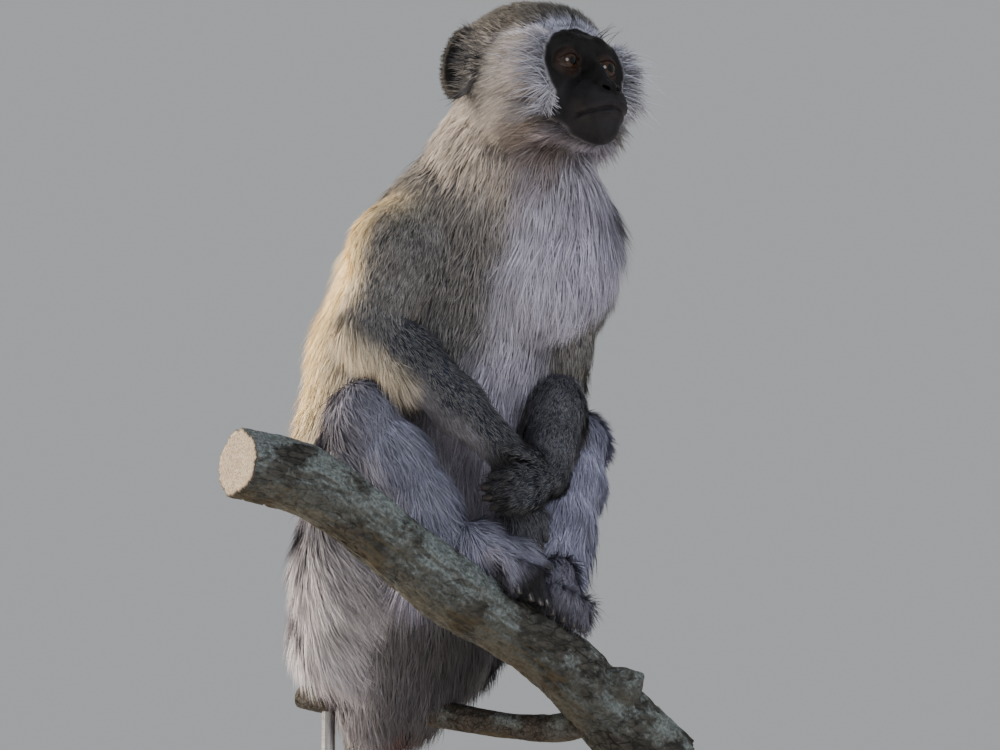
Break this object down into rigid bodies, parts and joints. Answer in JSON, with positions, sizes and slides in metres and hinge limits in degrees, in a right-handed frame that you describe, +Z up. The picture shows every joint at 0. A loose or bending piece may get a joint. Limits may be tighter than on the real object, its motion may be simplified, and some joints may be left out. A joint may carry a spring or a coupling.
{
  "type": "vervet monkey, life-size still model sitting on a forked branch",
  "caption": "Life-size still model of a vervet monkey that sits hunched on a forked branch with its hands clasped between its knees, held by a plain display stand.",
  "frame": {"origin": "centre of the underside of the stand's base plate", "axes": "+Z up, the animal's chest faces -Y, its right side is -X"},
  "size_m": [0.34, 0.316, 0.6353],
  "materials": {
    "coat": "grizzled grey fur with an olive back and a pale chest",
    "bare_skin": "dark matt skin",
    "eye": "wet glossy brown",
    "bark": "rough bark with pale lichen",
    "base_wood": "dark satin wood",
    "rod_steel": "brushed"
  },
  "bodies": {
    "root": {"head": "coat", "neck": "coat", "trunk": "coat", "upper_arm_r": "coat", "upper_arm_l": "coat", "forearm_r": "coat", "forearm_l": "coat", "thigh_r": "coat", "thigh_l": "coat", "shin_r": "coat", "shin_l": "coat", "tail_1": "coat", "tail_2": "coat", "tail_3": "coat", "tail_4": "coat", "ear_r": "bare_skin", "ear_l": "bare_skin", "hand_r": "bare_skin", "hand_l": "bare_skin", "foot_r": "bare_skin", "foot_l": "bare_skin", "eye_r": "eye", "eye_l": "eye", "perch_branch": "bark", "perch_twig": "bark", "stand_base": "base_wood", "stand_rod_front": "rod_steel", "stand_rod_rear": "rod_steel"}
  },
  "joints": []
}
